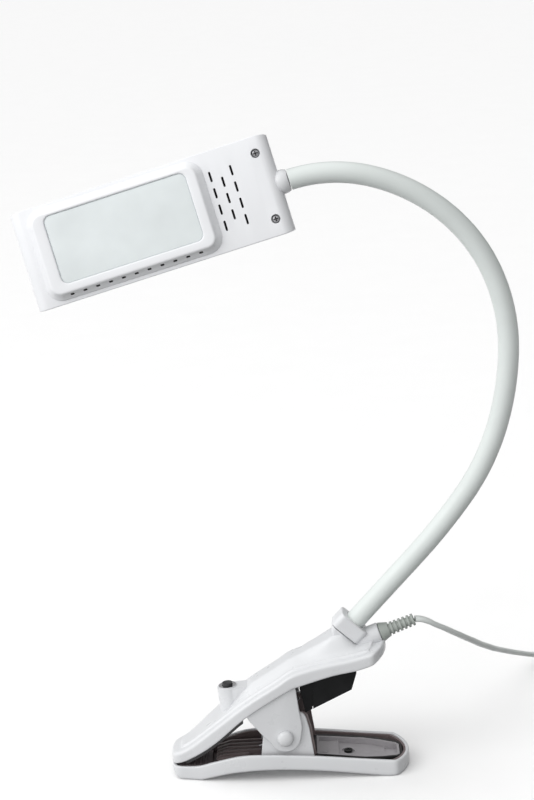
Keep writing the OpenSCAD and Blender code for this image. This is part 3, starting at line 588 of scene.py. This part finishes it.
def plan(x_end, n=260):
    """The jaw's outline from above: a tapered tip, straight sides and a shallow arc at the end."""
    r = (HALF_W**2 + END_BULGE**2) / (2 * END_BULGE)
    a = np.linspace(math.asin(HALF_W / r), 0, 14)
    arc = np.stack([x_end - r + r * np.cos(a), r * np.sin(a)], axis=1)
    half = np.vstack([smooth_line(TIP_PLAN, 6), arc])
    whole = np.vstack([half * [1, -1], half[::-1][1:-1]])
    return soften(even(whole, n), 1.3)


def jaw_ring(outline, t, heights):
    ring = inset(outline, t)
    return lift(ring, heights(ring[:, 0]))


def inward(outline, t, w, heights):
    """Between the outline inset by t, at w 0, and the jaw's middle line, at w 1."""
    ring = inset(outline, t)
    middle = np.stack([np.clip(ring[:, 0], TIP + 16, ring[:, 0].max() - 22), np.zeros(len(ring))], axis=1)
    ring = ring + (middle - ring) * w
    return lift(ring, heights(ring))


def quarter(r, n=5):
    """(inset, drop) pairs round a quarter circle, from the flat to the wall."""
    a = np.radians(np.linspace(90, 0, n))
    return [(r * (1 - math.cos(q)), r * (1 - math.sin(q))) for q in a]


def lower_jaw():
    o = plan(LOWER_END)
    rings = [inward(o, 3.0, w, lambda q: height(FLOOR, q[:, 0])) for w in (1, 0.66, 0.33, 0)]
    rings += [jaw_ring(o, t, lambda x, d=d: height(FLOOR, x) + d) for t, d in quarter(1.6)]
    for f in (0.3, 0.6):
        rings.append(jaw_ring(o, 0, lambda x: height(FLOOR, x) * (1 - f) + height(RIM, x) * f))
    rings += [jaw_ring(o, t, lambda x, d=d: height(RIM, x) - d) for t, d in quarter(0.9)[::-1]]
    rings += [jaw_ring(o, WALL - t, lambda x, d=d: height(RIM, x) - d) for t, d in quarter(0.6)]
    rings += [jaw_ring(o, WALL, lambda x: height(FLOOR, x) + 2.9)]
    rings += [inward(o, WALL + 0.5, w, lambda q: height(FLOOR, q[:, 0]) + 2.4) for w in (0, 0.33, 0.66, 1)]
    return loft(rings, ends=False)


def deck(q):
    """Height of the deck: it follows the jaw's back, and a crown swells along the middle up to the collar.
    The crown is flat in the middle and falls by a smooth step until CROWN_HALF from the middle line."""
    x, y = q[:, 0], np.abs(q[:, 1])
    crown = np.interp(x, (-36, -29, -22, -8.5, 0, 8.5, 15.5, 20.4, 25.2, 27.7, 32, 35, 37, 40, 43, 46, 54),
                      (0, 2.6, 4.4, 4.4, 4.1, 4.3, 6.4, 7.8, 9.5, 10.7, 11.8, 11.4, 9.8, 6.0, 2.4, 1.6, 1.0))
    flat = 5 + 2.5 * np.clip((x - 10) / 16, 0, 1)
    t = np.clip((y - flat) / (CROWN_HALF - flat), 0, 1)
    end = np.clip((UPPER_END - x) / 6, 0, 1)
    return height(TOP, x) + DECK_STEP + crown * (1 - t * t * (3 - 2 * t)) * end * end * (3 - 2 * end)


def upper_jaw():
    o = plan(UPPER_END)
    rings = [inward(o, DECK_INSET, w, deck) for w in np.linspace(1, 0, 15)]
    rings += [jaw_ring(o, t, lambda x, d=d: height(TOP, x) + d)
              for t, d in ((6.6, 1.1), (6.3, 0.85), (6.1, 0.5), (5.8, 0.2), (5.3, 0.05), (4.6, 0), (3.2, 0))]
    rings += [jaw_ring(o, t, lambda x, d=d: height(TOP, x) - d) for t, d in quarter(2.0, 7)]
    for f in (0.3, 0.55, 0.8):
        rings.append(jaw_ring(o, 0, lambda x: (height(TOP, x) - 2.0) * (1 - f) + (height(EDGE, x) + 1) * f))
    rings += [jaw_ring(o, t, lambda x, d=d: height(EDGE, x) + d) for t, d in quarter(1.0)[::-1]]
    rings += [jaw_ring(o, WALL - t, lambda x, d=d: height(EDGE, x) + d) for t, d in quarter(0.6)]
    rings += [jaw_ring(o, WALL, lambda x: np.maximum(height(TOP, x) - 3.4, height(EDGE, x) + 1))]
    rings += [inward(o, WALL + 0.6, w, lambda q: height(TOP, q[:, 0]) - 3.0) for w in (0, 0.33, 0.66, 1)]
    return loft(rings, ends=False)


def plate_y(corners, y0, y1, soft, r=0.5, n=120):
    """A plate drawn in X and Z with soft corners, which lies between two depths."""
    o = soften(even(corners, n), soft)
    area = np.sum(o[:, 0] * np.roll(o[:, 1], -1) - np.roll(o[:, 0], -1) * o[:, 1])
    if area < 0:
        o = o[::-1]
    return loft(slab(o, y0, y1, r)[..., [0, 2, 1]])


def arc(cx, cz, r, a0, a1, n=16):
    a = np.radians(np.linspace(a0, a1, n))
    return np.stack([cx + r * np.cos(a), cz + r * np.sin(a)], axis=1).tolist()


INNER_Y = HALF_W - WALL
lower_cheek = [[-18.9, 8], [-16.3, 28.6], [-11, 40], [-2, 43.6], [5, 43.8], [9, 42.6], [10.6, 40],
               [12.5, 31.9], [14.8, 14], [15.2, 8]]
upper_cheek = ([[-27, 48], [-25.2, 41.4], [-16.3, 29.8]] + arc(PIVOT[0], PIVOT[2], 9.5, 200, 350, 20)
               + [[8.3, 34.2], [6.7, 46], [4.9, 64], [-2, 64], [-12, 58]])
jaw = piece("lower_jaw", *joined(lower_jaw(), plate_y(lower_cheek, 14.8, 17.0, 0.8),
                                 plate_y(lower_cheek, -17.0, -14.8, 0.8)), "lower", "shell_plastic", WHITE)
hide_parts("lower_shell")


def tray_gap_shadow():
    """The dark strip painted round the tray as the shadow in the gap between tray and shell; it follows the
    jaw's rim a little below it.
    """
    half = np.array([[16.3, 13.6], [46, 14.4], [57.1, 12.4], [66.2, 9.4], [68.0, 7.1]])
    o = soften(even(np.vstack([half * [1, -1], half[::-1]]), 160), 0.5)
    rings = [jaw_ring(o, t, lambda x, d=d: height(RIM, x) - d)
             for t, d in ((-0.1, 3.4), (-0.1, 1.6), (-0.3, 1.3), (-1.3, 1.2), (-1.7, 1.4), (-1.7, 3.4))]
    rings.append(rings[0])
    return loft(rings, ends=False)


# painted shadow: a near black strip where the gap between the tray and the shell lies in shade
piece("tray_gap_shadow_strip", *tray_gap_shadow(), "lower", "lining_black", BLACK_LINING_AND_GAP_SHADOW)


def on_neck(points):
    return place(points, COLLAR_TOP, turn_y(90 - NECK_ANGLE))


def collar_outline(t, n=10):
    return rounded(-10.6 + t, 10.2 - t, -8 + t, 8 - t, max(3.5 - t, 0.4), n)


def collar_root():
    """What the collar stands on: its own outline, whose left side curves in down to the deck."""
    rings = [lift(rounded(n, 9.6, -7.6, 7.6, 2.6, 10), z)
             for n, z in ((2, -19), (-2.4, -17.6), (-5.6, -16), (-7.8, -14), (-8.9, -12.4), (-9.6, -11),
                          (-9.4, -10.7))]
    rings.append(lift(rounded(-8.4, 8.4, -6.4, 6.4, 2, 10), -10.6))
    return loft([on_neck(r) for r in rings])


def gland_hump():
    rings = lathe([(5.6, -17), (6.6, -16), (6.6, -1.0), (6.3, -0.35), (5.6, 0), (3.2, 0)], 48)
    return loft([place(r, GLAND_AT, turn_y(90 - GLAND_ANGLE)) for r in rings])


jaw = piece("upper_jaw", *joined(upper_jaw(), collar_root(), gland_hump(),
                                 plate_y(upper_cheek, -INNER_Y - 0.2, -INNER_Y + 2.4, 1.0, 0.7),
                                 plate_y(upper_cheek, INNER_Y - 2.4, INNER_Y + 0.2, 1.0, 0.7)),
            "upper", "shell_plastic", WHITE)
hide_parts("upper_shell")

# the seal between the driver box and its cover
seal = plate_y([[14.4, 44.6], [17.0, 45.8], [17.0, 68.4], [14.4, 67.0]], -12.4, 12.4, 0.2, 0.2)
piece("driver_box_seal", *seal, "upper", "driver_black", BOX_BLACK)

# collar: round-cornered block with a rolled top edge and a sunk seat round the neck
rings = [lift(collar_outline(t), z) for t, z in (
    (1.6, -COLLAR_H), (0.5, -COLLAR_H), (0.1, -COLLAR_H + 0.3), (0, -COLLAR_H + 0.8), (0, -5), (0, -2.2))]
rings += [lift(collar_outline(t), -0.6 - d) for t, d in quarter(0.9, 6)[::-1]]
angles = np.arctan2(collar_outline(0)[:, 1], collar_outline(0)[:, 0])
for r, z in ((6.95, -0.6), (6.75, -0.8), (6.7, -1.2), (6.7, -3.4), (6.0, -3.6)):
    rings.append(np.column_stack([r * np.cos(angles), r * np.sin(angles), np.full(len(angles), z)]))
collar = piece("neck_collar_block", *loft([on_neck(r) for r in rings]), "upper", "white_plastic", WHITE)
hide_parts("neck_collar")

# pivot caps: short barrel, small step and a dome
for name, side in (("pivot_cap_near", -1), ("pivot_cap_far", 1)):
    a = np.radians(np.linspace(0, 90, 9))
    profile = [(4.7, -0.4), (CAP_R, 0.0), (CAP_R, CAP_BARREL)]
    profile += [(CAP_TIP_R + (CAP_R - CAP_TIP_R) * math.cos(q), CAP_BARREL + CAP_DOME * math.sin(q))
                for q in a[1:]]
    rings = lathe(profile, 48)
    seat = (PIVOT[0], side * (INNER_Y + 0.2), PIVOT[2])
    turned = [place(r[:, [0, 2, 1]] * [1, side, 1], seat) for r in rings]
    cap = piece(name + "_dome", *loft(turned), "upper", "white_plastic", WHITE)
    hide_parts(name)

# ---------------------------------------------------------------- finishes of the carried parts
for material, names in {
    # painted shade: the lower liner's brown stands for the shade inside the white lower jaw
    INNER_SHADE_BROWN: ("lower_liner",), GRIP: ("lower_grip", "upper_grip"), TRAY: ("handle_tray",),
    # painted shade: the tray screw's black stands for the shade in its hole
    STEEL: ("pivot_pin", "plug_pins"), SCREW_HOLE_SHADE: ("tray_screw",), WIRE: ("spring_lower", "spring_upper"),
    BLACK_LINING_AND_GAP_SHADOW: ("upper_liner",), BOX_BLACK: ("driver_box", "driver_cover"), BOARD_GREEN: ("driver_board",),
    WHITE: ("switch_housing", "plug_body", "head_knob"), CHROME: ("switch_ring",), BUTTON: ("switch_button",),
    ALUMINIUM: ("neck_socket", "heat_plate"), BOARD_WHITE: ("led_board",), PHOSPHOR: ("leds",),
    RELIEF: ("strain_relief",), TIE: ("cord_tie",),
}.items():
    for name in names:
        mesh = NODES[name].data
        mesh.materials.clear()
        mesh.materials.append(material)
